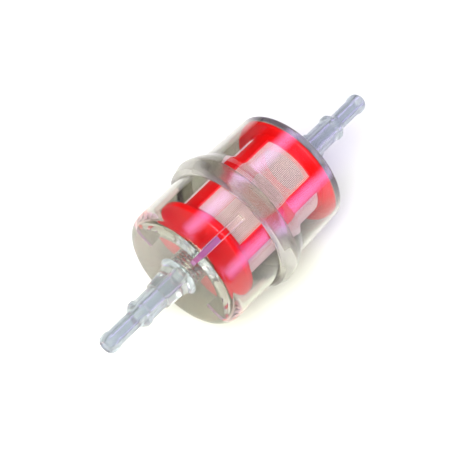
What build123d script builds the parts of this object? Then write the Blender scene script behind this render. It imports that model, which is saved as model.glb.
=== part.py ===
"""In-line fuel filter: two clear welded shells with stepped hose stems around a sprung red filter element.

The flow axis is +X, from the inlet stem to the outlet stem. The origin is the centre of the whole
filter's box, on its axis. Millimetres.
"""

import os

from build123d import *

os.makedirs("parts", exist_ok=True)

# ---------------------------------------------------------------- driving dimensions

TOTAL_LENGTH = 127.0
TIP = TOTAL_LENGTH / 2              # each stem's open end is this far from the origin
BORE_R = 1.9

# end walls of the housing, as places along the axis
INLET_FACE = -29.9
OUTLET_FACE = 25.9
INLET_END_WALL = 1.8
OUTLET_END_WALL = 2.2
INLET_INNER = INLET_FACE + INLET_END_WALL
OUTLET_INNER = OUTLET_FACE - OUTLET_END_WALL

# side walls
INLET_R = 22.3
INLET_WALL = 1.6
INLET_BORE_R = INLET_R - INLET_WALL
INLET_CORNER_R = 5.8
INLET_INNER_CORNER_R = 1.4
OUTLET_R = 22.2                     # beside the collar
OUTLET_RIM_R = 21.5                 # at the outlet end, after the mould's draft
OUTLET_RIM_FILLET = 1.4
OUTLET_BORE_R = 20.7
OUTLET_SEAT_R = 20.3                # bore beside the outlet end wall
FUNNEL_R = 5.2                      # the outlet bore's mouth, behind the element
FUNNEL_DEPTH = 3.4

# welded collar: the outlet shell's bell over the inlet shell's rim
COLLAR_START = -7.0
COLLAR_END = 4.2
COLLAR_R = 25.2
COLLAR_TOP = -2.3
COLLAR_LIP_R = 23.0
RIM_END = -0.5                      # inlet shell's rim, home against the bell's shoulder

# hose stem, measured from its tip inwards
TIP_R = 2.4
BEAD_R = 3.45
BEAD_START = 1.9
BEAD_LAND = 1.2
BEAD_END = 4.6
SMALL_TUBE_R = 2.95
TAPER_START = 12.8
BARB_R = 4.7
BARB_START = 15.1
BARB_LAND = 1.2
BARB_DROP = 1.1
LARGE_TUBE_R = 4.15
HUB_STEP_R = 4.7
HUB_STEP = 0.25
HUB_NECK_R = 5.25
HUB_FOOT_R = 7.1
HUB_FLARE = 3.6
INLET_HUB_START = 23.8
OUTLET_HUB_START = 25.4

# ribs that locate the element inside the inlet shell
RIB_COUNT = 4
RIB_WIDTH = 1.9
RIB_TURN = 25.3                     # degrees about +X, counted from +Y
RIB_FOOT_R = 12.6                   # tall part of the rib, beside the end wall
RIB_FOOT_END = -24.8                # the tall part leans back like a gusset
RIB_SHOULDER = -20.2                # the cap stops here
RIB_GUIDE_R = 19.1                  # low part of the rib, beside the cap's rim
RIB_END = -9.9
RIB_ROOT = 0.4                      # how far a rib is buried in the wall
RIB_CORNER = 0.25                   # its root's cut corner, inside the wall's rounded corner

# spring
WIRE_R = 0.38
SPRING_R = 5.4                      # to the middle of the wire
SPRING_PITCH = 1.3
SPRING_GAP = 0.02
SPRING_GUIDE_R = 4.8                # spigots at both ends, inside the coils
SPRING_GUIDE_LENGTH = 0.9

# filter element
CAP_RIM = -20.0                     # front of the dome, around the spring's socket
CAP_SHOULDER = -18.6                # where the dome meets the outer edge
CAP_BACK = -16.4
CAP_R = 18.9
CAP_EDGE_R = 0.8
CAP_DOME_RISE = 0.3                 # the dome's bulge over a straight cone
SOCKET_R = 7.6
SOCKET_FLOOR = -17.3
SOCKET_EDGE_R = 0.3
CAP_PLUG_LENGTH = 1.7
CAP_PLUG_WALL = 1.5
CAGE_R = 15.9
CAGE_BORE_R = 13.6
CAGE_RING_LENGTH = 2.0
BAR_WIDTH = 6.0
BAR_TURN = 59.3                     # degrees about +X, counted from +Y
BAR_EDGE_R = 0.35
BAND_START = 20.5                   # solid band between the windows and the flange
FLANGE_START = 22.4
FLANGE_R = 20.1
FLANGE_HOLE_R = 9.4
FLANGE_EDGE = 0.35
MESH_R = 15.4
MESH_THICKNESS = 0.4


def stem_outline(hub_start, wall_face):
    """Outer outline of a hose stem as (distance from the origin, radius), from its tip to the end wall."""
    neck = wall_face + HUB_FLARE
    return [
        (TIP, BORE_R),
        (TIP, TIP_R),
        (TIP - BEAD_START * 0.4, BEAD_R - 0.35),
        (TIP - BEAD_START, BEAD_R),
        (TIP - BEAD_START - BEAD_LAND, BEAD_R),
        (TIP - BEAD_END, SMALL_TUBE_R),
        (TIP - TAPER_START, SMALL_TUBE_R),
        (TIP - BARB_START, BARB_R),
        (TIP - BARB_START - BARB_LAND, BARB_R),
        (TIP - BARB_START - BARB_LAND - BARB_DROP, LARGE_TUBE_R),
        (TIP - hub_start, LARGE_TUBE_R),
        (TIP - hub_start - HUB_STEP, HUB_STEP_R),
        (neck, HUB_NECK_R),
    ]


# ---------------------------------------------------------------- inlet shell

inlet_stem = [(-x, r) for x, r in stem_outline(INLET_HUB_START, -INLET_FACE)]
inlet_guide_end = INLET_INNER + SPRING_GUIDE_LENGTH

with BuildPart() as inlet_shell:
    with BuildSketch(Plane.XZ) as inlet_profile:
        with BuildLine():
            Polyline(*inlet_stem)
            TangentArc(
                inlet_stem[-1],
                (INLET_FACE, HUB_FOOT_R),
                tangent=(HUB_FLARE, (HUB_NECK_R - HUB_STEP_R) / 2),
            )
            Line((INLET_FACE, HUB_FOOT_R), (INLET_FACE, INLET_R - INLET_CORNER_R))
            RadiusArc(
                (INLET_FACE, INLET_R - INLET_CORNER_R),
                (INLET_FACE + INLET_CORNER_R, INLET_R),
                INLET_CORNER_R,
            )
            Polyline(
                (INLET_FACE + INLET_CORNER_R, INLET_R),
                (RIM_END, INLET_R),
                (RIM_END, INLET_BORE_R),
                (INLET_INNER + INLET_INNER_CORNER_R, INLET_BORE_R),
            )
            RadiusArc(
                (INLET_INNER + INLET_INNER_CORNER_R, INLET_BORE_R),
                (INLET_INNER, INLET_BORE_R - INLET_INNER_CORNER_R),
                -INLET_INNER_CORNER_R,
            )
            Polyline(
                (INLET_INNER, INLET_BORE_R - INLET_INNER_CORNER_R),
                (INLET_INNER, SPRING_GUIDE_R),
                (inlet_guide_end, SPRING_GUIDE_R),
                (inlet_guide_end, BORE_R),
                inlet_stem[0],
            )
        make_face()
    revolve(axis=Axis.X)

    # one L-shaped rib in the XZ plane, repeated around the axis
    for k in range(RIB_COUNT):
        rib_plane = Plane.XZ.rotated((RIB_TURN - 90 + k * 360 / RIB_COUNT, 0, 0))
        with BuildSketch(rib_plane) as rib_outline:
            with BuildLine():
                Polyline(
                    (INLET_INNER - RIB_ROOT, RIB_FOOT_R),
                    (RIB_FOOT_END, RIB_FOOT_R),
                    (RIB_SHOULDER, RIB_GUIDE_R),
                    (RIB_END, RIB_GUIDE_R),
                    (RIB_END, INLET_BORE_R + RIB_ROOT),
                    (INLET_INNER + INLET_INNER_CORNER_R, INLET_BORE_R + RIB_ROOT),
                    (INLET_INNER + RIB_CORNER, INLET_BORE_R - RIB_CORNER),
                    (INLET_INNER - RIB_ROOT, INLET_BORE_R - INLET_INNER_CORNER_R),
                    close=True,
                )
            make_face()
        extrude(amount=RIB_WIDTH / 2, both=True)

inlet_shell.part.label = "inlet_shell"

# ---------------------------------------------------------------- outlet shell

outlet_stem = stem_outline(OUTLET_HUB_START, OUTLET_FACE)

with BuildPart() as outlet_shell:
    with BuildSketch(Plane.XZ) as outlet_profile:
        with BuildLine():
            Polyline(*outlet_stem)
            TangentArc(
                outlet_stem[-1],
                (OUTLET_FACE, HUB_FOOT_R),
                tangent=(-HUB_FLARE, (HUB_NECK_R - HUB_STEP_R) / 2),
            )
            Line((OUTLET_FACE, HUB_FOOT_R), (OUTLET_FACE, OUTLET_RIM_R - OUTLET_RIM_FILLET))
            RadiusArc(
                (OUTLET_FACE, OUTLET_RIM_R - OUTLET_RIM_FILLET),
                (OUTLET_FACE - OUTLET_RIM_FILLET, OUTLET_RIM_R),
                -OUTLET_RIM_FILLET,
            )
            Line((OUTLET_FACE - OUTLET_RIM_FILLET, OUTLET_RIM_R), (COLLAR_END, OUTLET_R))
            Spline(
                (COLLAR_END, OUTLET_R),
                ((COLLAR_TOP + COLLAR_END) / 2, COLLAR_R - 0.8),
                (COLLAR_TOP, COLLAR_R),
                (COLLAR_START + 2.4, COLLAR_R - 0.5),
                (COLLAR_START, COLLAR_LIP_R),
            )
            Polyline(
                (COLLAR_START, COLLAR_LIP_R),
                (COLLAR_START, INLET_R),
                (RIM_END, INLET_R),
                (RIM_END, OUTLET_BORE_R),
                (OUTLET_INNER, OUTLET_SEAT_R),
                (OUTLET_INNER, FUNNEL_R),
                (OUTLET_INNER + FUNNEL_DEPTH, BORE_R),
                outlet_stem[0],
            )
        make_face()
    revolve(axis=Axis.X)

outlet_shell.part.label = "outlet_shell"

# ---------------------------------------------------------------- filter element


def circles(piece, radius):
    """The piece's round edges of one radius."""
    round_edges = piece.edges().filter_by(GeomType.CIRCLE)
    return round_edges.filter_by(lambda edge: abs(edge.radius - radius) < 0.01)


cage_rings = (
    (CAP_BACK, CAP_BACK + CAGE_RING_LENGTH, CAGE_R, CAGE_BORE_R),
    (BAND_START, FLANGE_START, CAGE_R, CAGE_BORE_R),
    (FLANGE_START, OUTLET_INNER, FLANGE_R, FLANGE_HOLE_R),
)

with BuildPart() as element_cage:
    for start, end, outer, inner in cage_rings:
        with BuildSketch(Plane.YZ.offset(start)):
            Circle(outer)
            Circle(inner, mode=Mode.SUBTRACT)
        extrude(amount=end - start)
    chamfer(circles(element_cage, FLANGE_R), FLANGE_EDGE)
    with BuildSketch(Plane.YZ.offset(CAP_BACK)) as bar_section:
        Rectangle(4 * CAGE_R, BAR_WIDTH, rotation=BAR_TURN)
        Rectangle(BAR_WIDTH, 4 * CAGE_R, rotation=BAR_TURN)
        Circle(CAGE_R, mode=Mode.INTERSECT)
        Circle(CAGE_BORE_R, mode=Mode.SUBTRACT)
        fillet(bar_section.vertices(), BAR_EDGE_R)
    extrude(amount=FLANGE_START - CAP_BACK)

element_cage.part.label = "element_cage"

with BuildPart() as element_cap:
    with BuildSketch(Plane.XZ) as cap_profile:
        with BuildLine():
            Polyline(
                (CAP_BACK, 0),
                (SOCKET_FLOOR - SPRING_GUIDE_LENGTH, 0),
                (SOCKET_FLOOR - SPRING_GUIDE_LENGTH, SPRING_GUIDE_R),
                (SOCKET_FLOOR, SPRING_GUIDE_R),
                (SOCKET_FLOOR, SOCKET_R),
                (CAP_RIM, SOCKET_R),
            )
            ThreePointArc(
                (CAP_RIM, SOCKET_R),
                ((CAP_RIM + CAP_SHOULDER) / 2 - CAP_DOME_RISE, (SOCKET_R + CAP_R) / 2),
                (CAP_SHOULDER, CAP_R),
            )
            Polyline(
                (CAP_SHOULDER, CAP_R),
                (CAP_BACK, CAP_R),
                (CAP_BACK, CAGE_BORE_R),
                (CAP_BACK + CAP_PLUG_LENGTH, CAGE_BORE_R),
                (CAP_BACK + CAP_PLUG_LENGTH, CAGE_BORE_R - CAP_PLUG_WALL),
                (CAP_BACK, CAGE_BORE_R - CAP_PLUG_WALL),
                (CAP_BACK, 0),
            )
        make_face()
    revolve(axis=Axis.X)
    fillet(circles(element_cap, CAP_R), CAP_EDGE_R)
    fillet(circles(element_cap, SOCKET_R).sort_by(Axis.X)[:1], SOCKET_EDGE_R)

element_cap.part.label = "element_cap"

with BuildPart() as mesh_screen:
    with BuildSketch(Plane.YZ.offset(CAP_BACK + CAGE_RING_LENGTH)):
        Circle(MESH_R)
        Circle(MESH_R - MESH_THICKNESS, mode=Mode.SUBTRACT)
        Rectangle(2 * CAGE_R, BAR_WIDTH, rotation=BAR_TURN, mode=Mode.SUBTRACT)
        Rectangle(BAR_WIDTH, 2 * CAGE_R, rotation=BAR_TURN, mode=Mode.SUBTRACT)
    extrude(amount=BAND_START - CAP_BACK - CAGE_RING_LENGTH)

mesh_screen.part.label = "mesh_screen"

# ---------------------------------------------------------------- spring

spring_start = INLET_INNER + WIRE_R + SPRING_GAP
spring_height = SOCKET_FLOOR - INLET_INNER - 2 * (WIRE_R + SPRING_GAP)

with BuildPart() as element_spring:
    with BuildLine() as coil:
        Helix(
            pitch=SPRING_PITCH,
            height=spring_height,
            radius=SPRING_R,
            center=(spring_start, 0, 0),
            direction=(1, 0, 0),
        )
    with BuildSketch(Plane(origin=coil.line @ 0, z_dir=coil.line % 0)):
        Circle(WIRE_R)
    sweep(is_frenet=True)

element_spring.part.label = "element_spring"

# ---------------------------------------------------------------- files

for piece in (inlet_shell, outlet_shell, element_cage, element_cap, mesh_screen, element_spring):
    export_step(piece.part, f"parts/{piece.part.label}.step")
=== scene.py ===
"""Looks of the in-line fuel filter: clear shells, a red element with woven mesh, and a coil spring.

Metres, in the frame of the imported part: +X is the flow axis, +Z is up, and the filter lies on its
side. Tables that say so are in millimetres.
"""

import math

import bmesh
import bpy
from mathutils import Matrix, Vector


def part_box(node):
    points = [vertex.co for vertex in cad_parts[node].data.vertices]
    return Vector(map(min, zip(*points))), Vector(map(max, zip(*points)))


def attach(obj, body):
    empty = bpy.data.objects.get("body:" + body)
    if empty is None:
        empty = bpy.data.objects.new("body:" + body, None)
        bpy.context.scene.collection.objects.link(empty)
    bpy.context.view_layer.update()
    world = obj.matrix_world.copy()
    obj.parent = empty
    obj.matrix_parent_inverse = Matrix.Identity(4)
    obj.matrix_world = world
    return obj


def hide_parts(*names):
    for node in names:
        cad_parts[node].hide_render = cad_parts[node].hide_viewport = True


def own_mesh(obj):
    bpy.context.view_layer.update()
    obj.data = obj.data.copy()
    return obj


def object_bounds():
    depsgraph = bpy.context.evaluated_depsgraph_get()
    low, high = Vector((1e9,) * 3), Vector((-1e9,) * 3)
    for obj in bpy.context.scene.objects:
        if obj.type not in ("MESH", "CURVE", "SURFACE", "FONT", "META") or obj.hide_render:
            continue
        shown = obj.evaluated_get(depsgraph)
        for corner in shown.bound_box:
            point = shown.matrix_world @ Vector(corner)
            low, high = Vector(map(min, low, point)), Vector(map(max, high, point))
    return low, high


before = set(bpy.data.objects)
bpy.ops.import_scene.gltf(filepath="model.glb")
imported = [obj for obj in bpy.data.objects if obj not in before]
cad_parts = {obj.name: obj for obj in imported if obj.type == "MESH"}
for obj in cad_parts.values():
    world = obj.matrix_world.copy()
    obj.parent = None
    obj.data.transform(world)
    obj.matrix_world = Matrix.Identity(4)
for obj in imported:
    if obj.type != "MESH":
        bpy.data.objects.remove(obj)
CAD_BOX = [[float(v) for v in corner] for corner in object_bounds()]

MM = 0.001

# ---------------------------------------------------------------- places taken from the frame

FLOOR_Z = CAD_BOX[0][2]
MESH_LOW, MESH_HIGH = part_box("mesh_screen")
SPRING_LOW, SPRING_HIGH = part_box("element_spring")
INLET_LOW, INLET_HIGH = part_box("inlet_shell")
OUTLET_LOW, OUTLET_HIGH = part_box("outlet_shell")

# ---------------------------------------------------------------- materials

CLEAR_IOR = 1.5
RED_SHADES = [(0.3, (0.76, 0.003, 0.004)), (0.7, (0.90, 0.007, 0.008))]
RED_REFLECTION_TINT = (0.8, 0.5, 1.0)
NYLON_SHADES = [(0.3, (0.94, 0.73, 0.90)), (0.7, (0.99, 0.80, 0.97))]
STEEL_SHADES = [(0.3, (0.50, 0.50, 0.49)), (0.7, (0.68, 0.68, 0.66))]
STEEL_ROUGHNESS = [(0.2, (0.18, 0.18, 0.18)), (0.8, (0.34, 0.34, 0.34))]
FLOOR_GREY = (0.58, 0.59, 0.56)


def new_material(name):
    """An empty node material: its tree, its shader and its output."""
    material = bpy.data.materials.new(name)
    material.use_nodes = True
    tree = material.node_tree
    return material, tree, tree.nodes["Principled BSDF"], tree.nodes["Material Output"]


def noise(tree, scale, detail):
    """A noise texture in metres of the part's own frame."""
    place = tree.nodes.new("ShaderNodeTexCoord")
    node = tree.nodes.new("ShaderNodeTexNoise")
    node.inputs["Scale"].default_value = scale
    node.inputs["Detail"].default_value = detail
    tree.links.new(place.outputs["Object"], node.inputs["Vector"])
    return node.outputs["Fac"]


def ramp(tree, source, stops):
    """A colour ramp on a factor, from two stops of (position, colour)."""
    node = tree.nodes.new("ShaderNodeValToRGB")
    for element, (position, colour) in zip(node.color_ramp.elements, stops):
        element.position = position
        element.color = (*colour, 1.0)
    tree.links.new(source, node.inputs["Fac"])
    return node.outputs["Color"]


def bump(tree, shader, source, strength, distance):
    """Height detail on the shader's normal."""
    node = tree.nodes.new("ShaderNodeBump")
    node.inputs["Strength"].default_value = strength
    node.inputs["Distance"].default_value = distance
    tree.links.new(source, node.inputs["Height"])
    tree.links.new(node.outputs["Normal"], shader.inputs["Normal"])


def clear_plastic(name, tint, roughness, haze):
    """Clear moulded plastic with a tint, some haze and the slight waviness of a moulding; on the
    rib flanks and feet the tint and haze are a painted highlight and a painted reflection.
    """
    material, tree, shader, output = new_material(name)
    shader.inputs["Base Color"].default_value = (*tint, 1.0)
    shader.inputs["Transmission Weight"].default_value = 1.0 - haze
    shader.inputs["IOR"].default_value = CLEAR_IOR
    shader.inputs["Roughness"].default_value = roughness
    waviness = noise(tree, scale=90.0, detail=2.0)
    bump(tree, shader, waviness, strength=0.08, distance=0.3 * MM)
    # Light from the lamps goes straight through the wall and takes on some of the tint.
    lamp_side = tree.nodes.new("ShaderNodeBsdfTransparent")
    lamp_side.inputs["Color"].default_value = (*(math.sqrt(c) for c in tint), 1.0)
    path = tree.nodes.new("ShaderNodeLightPath")
    choose = tree.nodes.new("ShaderNodeMixShader")
    tree.links.new(path.outputs["Is Shadow Ray"], choose.inputs[0])
    tree.links.new(shader.outputs[0], choose.inputs[1])
    tree.links.new(lamp_side.outputs[0], choose.inputs[2])
    tree.links.new(choose.outputs[0], output.inputs["Surface"])
    return material


def red_plastic():
    """Vivid red moulded plastic with slight colour variation and a fine grain."""
    material, tree, shader, _ = new_material("red_plastic")
    cloud = noise(tree, scale=60.0, detail=3.0)
    tree.links.new(ramp(tree, cloud, RED_SHADES), shader.inputs["Base Color"])
    shader.inputs["Roughness"].default_value = 0.24
    shader.inputs["IOR"].default_value = 1.65
    shader.inputs["Specular IOR Level"].default_value = 0.9
    shader.inputs["Specular Tint"].default_value = (*RED_REFLECTION_TINT, 1.0)
    grain = noise(tree, scale=2500.0, detail=2.0)
    bump(tree, shader, grain, strength=0.15, distance=0.03 * MM)
    return material


def nylon():
    """Whitish nylon thread."""
    material, tree, shader, _ = new_material("nylon_thread")
    cloud = noise(tree, scale=300.0, detail=2.0)
    tree.links.new(ramp(tree, cloud, NYLON_SHADES), shader.inputs["Base Color"])
    shader.inputs["Roughness"].default_value = 0.4
    return material


def steel():
    """Bright drawn spring wire with fine marks."""
    material, tree, shader, _ = new_material("spring_steel")
    shader.inputs["Metallic"].default_value = 1.0
    marks = noise(tree, scale=1500.0, detail=3.0)
    tree.links.new(ramp(tree, marks, STEEL_SHADES), shader.inputs["Base Color"])
    tree.links.new(ramp(tree, marks, STEEL_ROUGHNESS), shader.inputs["Roughness"])
    return material


def floor_paint():
    """Plain floor, which the lights turn white."""
    material, _, shader, _ = new_material("pale_floor")
    shader.inputs["Base Color"].default_value = (*FLOOR_GREY, 1.0)
    shader.inputs["Roughness"].default_value = 0.9
    return material


BODY_CLEAR = clear_plastic("clear_body", tint=(0.575, 0.57, 0.505), roughness=0.04, haze=0.0)
STEM_CLEAR = clear_plastic("clear_stem", tint=(0.44, 0.48, 0.51), roughness=0.16, haze=0.15)
# Painted highlight: the rib flanks' pale pink tint and haze stand in for the bright lines they
# show.
FLANK_PAINTED_HIGHLIGHT = clear_plastic("rib_flank_painted_highlight", tint=(0.90, 0.74, 0.80), roughness=0.25, haze=0.25)
# Painted reflection: the rib feet's dark violet tint and haze stand in for the violet light they
# reflect.
FOOT_PAINTED_REFLECTION = clear_plastic("rib_foot_painted_reflection", tint=(0.26, 0.045, 0.28), roughness=0.5, haze=0.6)
WELD_CLEAR = clear_plastic("clear_weld", tint=(0.72, 0.70, 0.66), roughness=0.22, haze=0.05)
SHELL_MATERIALS = (BODY_CLEAR, STEM_CLEAR, WELD_CLEAR, FLANK_PAINTED_HIGHLIGHT, FOOT_PAINTED_REFLECTION)
RED = red_plastic()
NYLON = nylon()
STEEL = steel()

# ---------------------------------------------------------------- mesh tools

# Radians.
SHARP_ANGLE = 0.7
NO_SHARP_EDGES = 3.0
STRAIGHT_ANGLE = 0.02
CURVE_STEP_ANGLE = 0.16
# The most of an edge that the curve at one of its ends may take.
LONGEST_CUT = 0.49


def add_piece(name, mesh, body, slot, *nodes):
    """Puts a finished mesh in the scene: it rides on a body and stands for the CAD nodes."""
    piece = bpy.data.objects.new(name, mesh)
    bpy.context.scene.collection.objects.link(piece)
    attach(piece, body)
    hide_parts(*nodes)
    return piece


def rounded(corners):
    """A closed outline of (x, r, corner radius) with each corner turned into a curve."""
    outline = []
    count = len(corners)
    for k, (x, r, radius) in enumerate(corners):
        here = Vector((x, r))
        before = Vector(corners[k - 1][:2]) - here
        after = Vector(corners[(k + 1) % count][:2]) - here
        turn = math.pi - before.angle(after)
        if turn < STRAIGHT_ANGLE:
            outline.append(here)
            continue
        cut = radius * math.tan(turn / 2)
        cut = min(cut, before.length * LONGEST_CUT, after.length * LONGEST_CUT)
        start = here + before.normalized() * cut
        end = here + after.normalized() * cut
        steps = max(2, int(turn / CURVE_STEP_ANGLE) + 1)
        for i in range(steps + 1):
            f = i / steps
            outline.append(start * (1 - f) ** 2 + here * (2 * f * (1 - f)) + end * f**2)
    return outline


def lathe(outline, segments):
    """A closed outline of (x, r) turned about the X axis, as a bmesh."""
    bm = bmesh.new()
    rings = []
    for x, r in outline:
        ring = []
        for k in range(segments):
            a = 2 * math.pi * k / segments
            ring.append(bm.verts.new((x, r * math.cos(a), r * math.sin(a))))
        rings.append(ring)
    for i, ring in enumerate(rings):
        bridge(bm, ring, rings[(i + 1) % len(rings)])
    bmesh.ops.recalc_face_normals(bm, faces=bm.faces)
    return bm


def bridge(bm, ring, following):
    """Faces between two rings with the same number of points."""
    count = len(ring)
    for k in range(count):
        m = (k + 1) % count
        bm.faces.new((ring[k], ring[m], following[m], following[k]))


def finished(bm, name, sharp=SHARP_ANGLE):
    """A bmesh as a smooth-shaded mesh whose edges past an angle stay sharp."""
    mesh = bpy.data.meshes.new(name)
    bm.to_mesh(mesh)
    bm.free()
    mesh.shade_smooth()
    mesh.set_sharp_from_angle(angle=sharp)
    return mesh


# ---------------------------------------------------------------- outlines of the clear shells

BORE_R = 1.9 * MM
INLET_WALL_X = -29.9 * MM
INLET_INNER_X = -28.1 * MM
INLET_HUB_START = 23.8 * MM
OUTLET_WALL_X = 25.9 * MM
OUTLET_HUB_START = 25.4 * MM
WELD_START = OUTLET_LOW.x
WELD_END = INLET_HIGH.x
RIM_R = 22.3 * MM
RIM_BORE_R = 20.7 * MM
COLLAR_R = 25.2 * MM

# Keeps faces that would lie on each other apart: at the weld, and between outlet wall and flange.
WELD_GAP = 0.03 * MM
OUTLET_INNER_X = OUTLET_WALL_X - 2.2 * MM + WELD_GAP

# The hose stem, in mm: distance back from the tip, radius, and radius of the corner.
STEM_PROFILE = [
    (0.0, 1.9, 0.25),
    (0.0, 2.4, 0.3),
    (0.75, 3.1, 0.8),
    (1.9, 3.45, 1.5),
    (3.1, 3.45, 1.0),
    (4.6, 2.95, 1.2),
    (12.8, 2.95, 1.5),
    (15.1, 4.7, 0.5),
    (16.3, 4.7, 0.4),
    (17.4, 4.15, 0.5),
]

# The hub, in mm: distance back from its step, then out from the end wall.
HUB_STEP_PROFILE = [(0.0, 4.15, 0.1), (0.25, 4.7, 0.15)]
HUB_PROFILE = [(3.6, 5.25, 1.0), (1.1, 5.8, 2.0), (0.0, 7.1, 0.6)]


def stem(tip, hub_start, wall):
    """Corners of a hose stem from its bore's mouth to the end wall, for the +X end."""
    corners = [(tip - back * MM, r * MM, soft * MM) for back, r, soft in STEM_PROFILE]
    step = tip - hub_start
    corners += [(step - back * MM, r * MM, soft * MM) for back, r, soft in HUB_STEP_PROFILE]
    corners += [(wall + out * MM, r * MM, soft * MM) for out, r, soft in HUB_PROFILE]
    return corners


inlet_stem = stem(-INLET_LOW.x, INLET_HUB_START, -INLET_WALL_X)
inlet_corners = [(-x, r, soft) for x, r, soft in inlet_stem] + [
    (INLET_WALL_X, RIM_R, 5.8 * MM),
    (WELD_END - WELD_GAP, RIM_R, 0.15 * MM),
    (WELD_END - WELD_GAP, RIM_BORE_R, 0.15 * MM),
    (INLET_INNER_X, RIM_BORE_R, 1.4 * MM),
    (INLET_INNER_X, 4.8 * MM, 0.2 * MM),
    (INLET_INNER_X + 0.9 * MM, 4.8 * MM, 0.2 * MM),
    (INLET_INNER_X + 0.9 * MM, BORE_R, 0.3 * MM),
]

outlet_corners = stem(OUTLET_HIGH.x, OUTLET_HUB_START, OUTLET_WALL_X) + [
    (OUTLET_WALL_X, 21.5 * MM, 1.4 * MM),
    (WELD_START + 11.6 * MM, 22.15 * MM, 3.0 * MM),
    (WELD_START + 8.4 * MM, 24.0 * MM, 5.0 * MM),
    (WELD_START + 5.2 * MM, COLLAR_R, 5.0 * MM),
    (WELD_START + 3.8 * MM, COLLAR_R, 3.0 * MM),
    (WELD_START + 0.9 * MM, 24.2 * MM, 1.2 * MM),
    (WELD_START, 23.0 * MM, 0.5 * MM),
    (WELD_START, RIM_R + WELD_GAP, 0.1 * MM),
    (WELD_END, RIM_R + WELD_GAP, 0.1 * MM),
    (WELD_END, RIM_BORE_R, 0.1 * MM),
    (OUTLET_INNER_X, 20.3 * MM, 0.3 * MM),
    (OUTLET_INNER_X, 5.2 * MM, 0.6 * MM),
    (OUTLET_WALL_X + 1.2 * MM, BORE_R, 0.6 * MM),
]

# ---------------------------------------------------------------- ribs of the inlet shell

RIB_COUNT = 4
RIB_TURN = math.radians(25.3) - math.pi / 2
RIB_HALF = 0.95 * MM
RIB_DRAFT = 0.02
RIB_ROOT_R = 20.9 * MM
RIB_FLARE_HEIGHT = 0.8 * MM
RIB_FLARE_WIDTH = 0.45 * MM
RIB_LEG_R = 18.9 * MM
RIB_BORE_LIMIT = 20.68 * MM

# A rib's side view, in mm: x and r. The close points near the wall follow its flare.
RIB_OUTLINE = [
    (-28.4, 12.6),
    (-24.8, 12.6),
    (-20.2, 19.1),
    (-9.9, 19.1),
    (-9.9, 20.1),
    (-9.9, 20.4),
    (-9.9, 20.65),
    (-9.9, 20.9),
    (-26.9, 20.9),
    (-27.4, 20.65),
    (-27.9, 20.3),
    (-28.4, 19.6),
]

# Where faces of the joined shell count as a rib's flank (painted highlight), its foot (painted
# reflection), or the weld.
FLANK_END_X = -9.0 * MM
FLANK_SIDEWAYS = 0.35
FOOT_END_R = 12.6 * MM
FOOT_X = (-28.0 * MM, -20.1 * MM)
FOOT_R = (12.4 * MM, 19.2 * MM)
FOOT_LEAN = 0.5
FOOT_NEAR = 0.1 * MM
WELD_NEAR = 0.08 * MM


def rib_half(r):
    """Half the rib's width at a radius: a slight draft, and a flare where it meets the wall."""
    flare = max(0.0, r - (RIB_ROOT_R - RIB_FLARE_HEIGHT)) / RIB_FLARE_HEIGHT
    draft = RIB_DRAFT * (RIB_ROOT_R - min(r, RIB_ROOT_R))
    return RIB_HALF - draft + RIB_FLARE_WIDTH * min(flare, 1.0) ** 2


def rib(turn):
    """One L-shaped rib as a closed prism at an angle about the axis."""
    bm = bmesh.new()
    near, far = (
        [bm.verts.new((x * MM, sign * rib_half(r * MM), r * MM)) for x, r in RIB_OUTLINE]
        for sign in (-1, 1)
    )
    bm.faces.new(near)
    bm.faces.new(list(reversed(far)))
    count = len(RIB_OUTLINE)
    for k in range(count):
        m = (k + 1) % count
        bm.faces.new((near[k], far[k], far[m], near[m]))
    bmesh.ops.recalc_face_normals(bm, faces=bm.faces)
    # The cut gives the flanks near the wall faces of their own.
    whole = bm.verts[:] + bm.edges[:] + bm.faces[:]
    bmesh.ops.bisect_plane(bm, geom=whole, plane_co=(0, 0, RIB_LEG_R), plane_no=(0, 0, 1))
    bmesh.ops.rotate(bm, verts=bm.verts, cent=(0, 0, 0), matrix=Matrix.Rotation(turn, 3, "X"))
    return bm


def joined(base_mesh, tool_bm):
    """The exact union of a mesh and a closed prism."""
    base = bpy.data.objects.new("union_base", base_mesh)
    tool_mesh = bpy.data.meshes.new("union_tool")
    tool_bm.to_mesh(tool_mesh)
    tool_bm.free()
    tool = bpy.data.objects.new("union_tool", tool_mesh)
    for helper in (base, tool):
        bpy.context.scene.collection.objects.link(helper)
    union = base.modifiers.new("union", "BOOLEAN")
    union.operation = "UNION"
    union.solver = "EXACT"
    union.object = tool
    bpy.context.view_layer.update()
    evaluated = base.evaluated_get(bpy.context.evaluated_depsgraph_get())
    result = bpy.data.meshes.new_from_object(evaluated)
    for helper in (base, tool):
        bpy.data.objects.remove(helper)
    return result


def is_rib_flank(face):
    """Whether a face is on the side of a rib, between its cut and the shell's bore; these faces get
    the painted highlight.
    """
    centre = face.center
    distance = math.hypot(centre.y, centre.z)
    outward = Vector((0, centre.y, centre.z)) / distance
    sideways = abs(face.normal.dot(Vector((1, 0, 0)).cross(outward)))
    on_rib = INLET_WALL_X < centre.x < FLANK_END_X and RIB_LEG_R < distance < RIB_BORE_LIMIT
    return on_rib and sideways > FLANK_SIDEWAYS


def is_rib_foot(face):
    """Whether a face is the leaning front or the lower end of a rib's foot; these faces get the
    painted reflection.
    """
    distance = math.hypot(face.center.y, face.center.z)
    slopes = abs(face.normal.x) > FOOT_LEAN or abs(distance - FOOT_END_R) < FOOT_NEAR
    return slopes and FOOT_X[0] < face.center.x < FOOT_X[1] and FOOT_R[0] < distance < FOOT_R[1]


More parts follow.
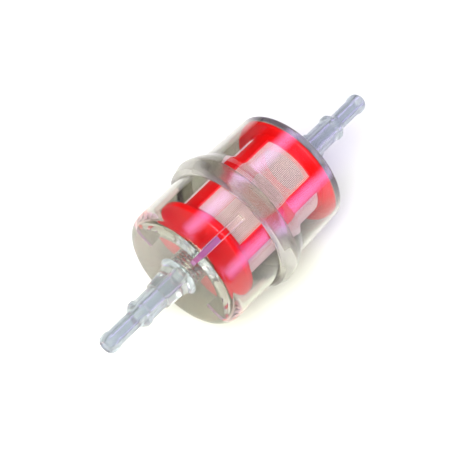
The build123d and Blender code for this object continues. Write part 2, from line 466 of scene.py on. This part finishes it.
def shell_material(face, weld_r):
    """The clear plastic of a shell's face: stem, weld, rib flank with painted highlight, rib foot
    with painted reflection, or plain wall.
    """
    centre = face.center
    distance = math.hypot(centre.y, centre.z)
    if centre.x < INLET_WALL_X or centre.x > OUTLET_WALL_X:
        return STEM_CLEAR
    if abs(distance - weld_r) < WELD_NEAR and WELD_START < centre.x < WELD_END:
        return WELD_CLEAR
    if is_rib_flank(face):
        return FLANK_PAINTED_HIGHLIGHT
    if is_rib_foot(face):
        return FOOT_PAINTED_REFLECTION
    return BODY_CLEAR


def share_out(mesh, weld_r):
    """Gives each face of a shell its clear plastic."""
    mesh.materials.clear()
    for material in SHELL_MATERIALS:
        mesh.materials.append(material)
    for face in mesh.polygons:
        face.material_index = SHELL_MATERIALS.index(shell_material(face, weld_r))


ROUND_STEPS = 160

inlet_mesh = finished(lathe(rounded(inlet_corners), ROUND_STEPS), "inlet_shell_turned")
for k in range(RIB_COUNT):
    inlet_mesh = joined(inlet_mesh, rib(RIB_TURN + k * 2 * math.pi / RIB_COUNT))
inlet_mesh.name = "inlet_shell_clear"
inlet_mesh.shade_smooth()
inlet_mesh.set_sharp_from_angle(angle=SHARP_ANGLE)
outlet_mesh = finished(lathe(rounded(outlet_corners), ROUND_STEPS), "outlet_shell_clear")

for mesh, weld_r, name, node in (
    (inlet_mesh, RIM_R, "inlet_shell_clear", "inlet_shell"),
    (outlet_mesh, RIM_R + WELD_GAP, "outlet_shell_clear", "outlet_shell"),
):
    share_out(mesh, weld_r)
    add_piece(name, mesh, "housing", "clear_shell", node)

# ---------------------------------------------------------------- woven screen

THREAD_R = 0.085 * MM
THREAD_SIDES = 4
PITCH = 0.5 * MM
PANEL_HALF = 0.2 * MM
SCREEN_R = (MESH_HIGH.z - MESH_LOW.z) / 2 - PANEL_HALF
BAR_HALF = 3.0 * MM
BAR_TURN = math.radians(59.3)
WINDOW_COUNT = 4
# How far each window's mesh reaches under the bars, in radians.
BAR_OVERLAP = 0.012


def ring_about(bm, place, outward, across, radius, sides):
    """A ring of points about a place on a thread or wire."""
    ring = []
    for k in range(sides):
        a = 2 * math.pi * k / sides
        ring.append(bm.verts.new(place + (outward * math.cos(a) + across * math.sin(a)) * radius))
    return ring


def closed_tube(bm, rings):
    """Faces along a row of rings, with a cap at each end."""
    bm.faces.new(list(reversed(rings[0])))
    for ring, following in zip(rings, rings[1:]):
        bridge(bm, ring, following)
    bm.faces.new(rings[-1])


def thread(bm, points, across):
    """A thread along points of (place, outward); across is its third direction."""
    closed_tube(
        bm,
        [ring_about(bm, place, out, across, THREAD_R, THREAD_SIDES) for place, out in points],
    )


def woven_window(middle):
    """One window of plain weave: lengthwise and hoop threads pass over and under each other."""
    bm = bmesh.new()
    half = math.pi / WINDOW_COUNT - math.asin(BAR_HALF / SCREEN_R) + BAR_OVERLAP
    span = 2 * half
    length = MESH_HIGH.x - MESH_LOW.x
    columns = round(span * SCREEN_R / PITCH)
    rows = round(length / PITCH)

    def spot(row, column, lift):
        angle = middle - half + span * column / columns
        outward = Vector((0, math.cos(angle), math.sin(angle)))
        along = Vector((MESH_LOW.x + length * row / rows, 0, 0))
        return along + outward * (SCREEN_R + lift), outward

    def wave(half_step, other):
        """Height of a thread: none between crossings, then over and under in turn."""
        if half_step % 2 == 0:
            return 0.0
        return THREAD_R * (1 if (half_step // 2 + other) % 2 else -1)

    for i in range(columns):
        angle = middle - half + span * (i + 0.5) / columns
        points = [spot(j / 2, i + 0.5, wave(j, i)) for j in range(2 * rows + 1)]
        thread(bm, points, Vector((0, -math.sin(angle), math.cos(angle))))
    for j in range(rows):
        points = [spot(j + 0.5, i / 2, -wave(i, j)) for i in range(2 * columns + 1)]
        thread(bm, points, Vector((1, 0, 0)))
    bmesh.ops.recalc_face_normals(bm, faces=bm.faces)
    return finished(bm, "woven_screen", NO_SHARP_EDGES)


for k in range(WINDOW_COUNT):
    woven = woven_window(BAR_TURN + (2 * k + 1) * math.pi / WINDOW_COUNT)
    woven.materials.append(NYLON)
    add_piece(f"woven_screen_{k + 1}", woven, "element", "nylon_mesh", "mesh_screen")

# ---------------------------------------------------------------- spring

WIRE_R = 0.38 * MM
WIRE_SIDES = 12
COIL_R = (SPRING_HIGH.z - SPRING_LOW.z) / 2 - WIRE_R
COIL_TURNS = 8.2
COIL_STEPS = 260
END_TURN = 0.8


def coil_points():
    """The spring wire's middle line, with a closed part-turn at each end."""
    low, high = SPRING_LOW.x + WIRE_R, SPRING_HIGH.x - WIRE_R
    closed = 2 * WIRE_R * END_TURN
    points = []
    for k in range(COIL_STEPS + 1):
        turn = COIL_TURNS * k / COIL_STEPS
        if turn < END_TURN:
            x = low + closed * turn / END_TURN
        elif turn > COIL_TURNS - END_TURN:
            x = high - closed * (COIL_TURNS - turn) / END_TURN
        else:
            f = (turn - END_TURN) / (COIL_TURNS - 2 * END_TURN)
            x = low + closed + (high - low - 2 * closed) * f
        a = 2 * math.pi * turn
        points.append(Vector((x, COIL_R * math.cos(a), COIL_R * math.sin(a))))
    return points


def coil_wire():
    """The spring's round wire, closed at both ends."""
    bm = bmesh.new()
    points = coil_points()
    rings = []
    for k, place in enumerate(points):
        ahead = points[min(k + 1, len(points) - 1)] - points[max(k - 1, 0)]
        ahead.normalize()
        outward = Vector((0, place.y, place.z)).normalized()
        across = ahead.cross(outward).normalized()
        rings.append(ring_about(bm, place, across.cross(ahead), across, WIRE_R, WIRE_SIDES))
    closed_tube(bm, rings)
    bmesh.ops.recalc_face_normals(bm, faces=bm.faces)
    return finished(bm, "coil_spring")


coil_mesh = coil_wire()
coil_mesh.materials.append(STEEL)
coil = add_piece("coil_spring", coil_mesh, "housing", "spring_steel", "element_spring")
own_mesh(coil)

# ---------------------------------------------------------------- nodes that keep their CAD shape

for name in ("element_cage", "element_cap"):
    for material_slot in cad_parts[name].material_slots:
        material_slot.material = RED

# ---------------------------------------------------------------- camera

VIEW_AZIMUTH = math.radians(-49.9)
VIEW_ELEVATION = math.radians(54.9)
VIEW_DISTANCE = 0.500
VIEW_LENS = 122.7
VIEW_POINT = Vector((-2.5 * MM, 0, 0))
VIEW_RIGHT_OFFSET = -1.74 * MM
VIEW_UP_OFFSET = -2.30 * MM

back = Vector(
    (
        math.sin(VIEW_AZIMUTH) * math.cos(VIEW_ELEVATION),
        -math.cos(VIEW_AZIMUTH) * math.cos(VIEW_ELEVATION),
        math.sin(VIEW_ELEVATION),
    )
)
right = Vector((math.cos(VIEW_AZIMUTH), math.sin(VIEW_AZIMUTH), 0))
up = back.cross(right)

camera_data = bpy.data.cameras.new("camera")
camera_data.lens = VIEW_LENS
camera_data.sensor_width = 36.0
camera_data.clip_start = 0.01
camera = bpy.data.objects.new("camera", camera_data)
bpy.context.scene.collection.objects.link(camera)
camera.matrix_world = Matrix.Translation(
    VIEW_POINT + back * VIEW_DISTANCE + right * VIEW_RIGHT_OFFSET + up * VIEW_UP_OFFSET
) @ Matrix((right, up, back)).transposed().to_4x4()
bpy.context.scene.camera = camera

# ---------------------------------------------------------------- floor and light

FLOOR_SIZE = 3.0
WORLD_COLOUR = (0.94, 1.0, 0.93)
WORLD_STRENGTH = 0.03
SOFTBOX_COLOUR = (0.95, 0.66, 1.50)
SOFTBOX_DISTANCE = 0.6
SOFTBOX_LENGTH = 1.1
SOFTBOX_WIDTH = 0.36
# Name, degrees about the flow axis from the camera's side, and watts.
SOFTBOXES = (("softbox_upper", -41.0, 5.6), ("softbox_lower", 54.0, 5.8))
FRONT_DIRECTION = Vector((-0.52, -0.20, 0.83))
FRONT_COLOUR = (1.0, 1.03, 0.90)
FRONT_DISTANCE = 0.85
FRONT_SIZE = 1.1
FRONT_POWER = 72.0
LIGHT_BOUNCES = 32

floor_mesh = bpy.data.meshes.new("floor")
floor_mesh.from_pydata(
    [(x * FLOOR_SIZE, y * FLOOR_SIZE, FLOOR_Z) for x, y in ((-1, -1), (1, -1), (1, 1), (-1, 1))],
    [],
    [(0, 1, 2, 3)],
)
floor = bpy.data.objects.new("floor", floor_mesh)
bpy.context.scene.collection.objects.link(floor)
floor_mesh.materials.append(floor_paint())

world = bpy.data.worlds.new("world")
bpy.context.scene.world = world
world.use_nodes = True
background = world.node_tree.nodes["Background"]
background.inputs["Color"].default_value = (*WORLD_COLOUR, 1.0)
background.inputs["Strength"].default_value = WORLD_STRENGTH


def fade_edges(lamp, colour):
    """Fades a softbox to nothing at its edges, as a real diffuser does."""
    lamp.data.use_nodes = True
    tree = lamp.data.node_tree
    place = tree.nodes.new("ShaderNodeNewGeometry")
    split = tree.nodes.new("ShaderNodeSeparateXYZ")
    tree.links.new(place.outputs["Parametric"], split.inputs[0])

    def step(operation, *values):
        node = tree.nodes.new("ShaderNodeMath")
        node.operation = operation
        for socket, value in zip(node.inputs, values):
            if isinstance(value, float):
                socket.default_value = value
            else:
                tree.links.new(value, socket)
        return node.outputs[0]

    hump = step("SINE", step("MULTIPLY", split.outputs["Y"], math.pi))
    ends = step("SINE", step("MULTIPLY", split.outputs["X"], math.pi))
    glow = step("MULTIPLY", step("MULTIPLY", hump, hump), ends)
    emission = tree.nodes["Emission"]
    emission.inputs["Color"].default_value = (*colour, 1.0)
    tree.links.new(glow, emission.inputs["Strength"])


def softbox(name, direction, distance, length, width, power, colour):
    """A soft light with faded edges that faces the filter, with its length along the flow axis."""
    data = bpy.data.lights.new(name, "AREA")
    data.shape = "RECTANGLE"
    data.size = length
    data.size_y = width
    data.energy = power
    lamp = bpy.data.objects.new(name, data)
    along = Vector((1, 0, 0))
    z = direction.normalized()
    x = (along - z * along.dot(z)).normalized()
    y = z.cross(x)
    turned = Matrix((x, y, z)).transposed().to_4x4()
    lamp.matrix_world = Matrix.Translation(z * distance) @ turned
    bpy.context.scene.collection.objects.link(lamp)
    fade_edges(lamp, colour)
    return lamp


# The softboxes stand where the filter's sides mirror them to the camera.
facing = math.atan2(back.z, back.y)
tilt = math.hypot(back.y, back.z)
for name, turn, power in SOFTBOXES:
    angle = facing + math.radians(turn)
    direction = Vector((-back.x, tilt * math.cos(angle), tilt * math.sin(angle)))
    softbox(
        name, direction, SOFTBOX_DISTANCE, SOFTBOX_LENGTH, SOFTBOX_WIDTH, power, SOFTBOX_COLOUR
    )
front = softbox(
    "front_light",
    FRONT_DIRECTION,
    FRONT_DISTANCE,
    FRONT_SIZE,
    FRONT_SIZE,
    FRONT_POWER,
    FRONT_COLOUR,
)
# Its reflection would be a bright patch on the collar.
front.visible_glossy = False

bpy.context.scene.view_settings.view_transform = "Standard"
bpy.context.scene.cycles.max_bounces = LIGHT_BOUNCES
bpy.context.scene.cycles.transmission_bounces = LIGHT_BOUNCES
bpy.context.scene.cycles.glossy_bounces = LIGHT_BOUNCES
bpy.context.scene.cycles.transparent_max_bounces = LIGHT_BOUNCES
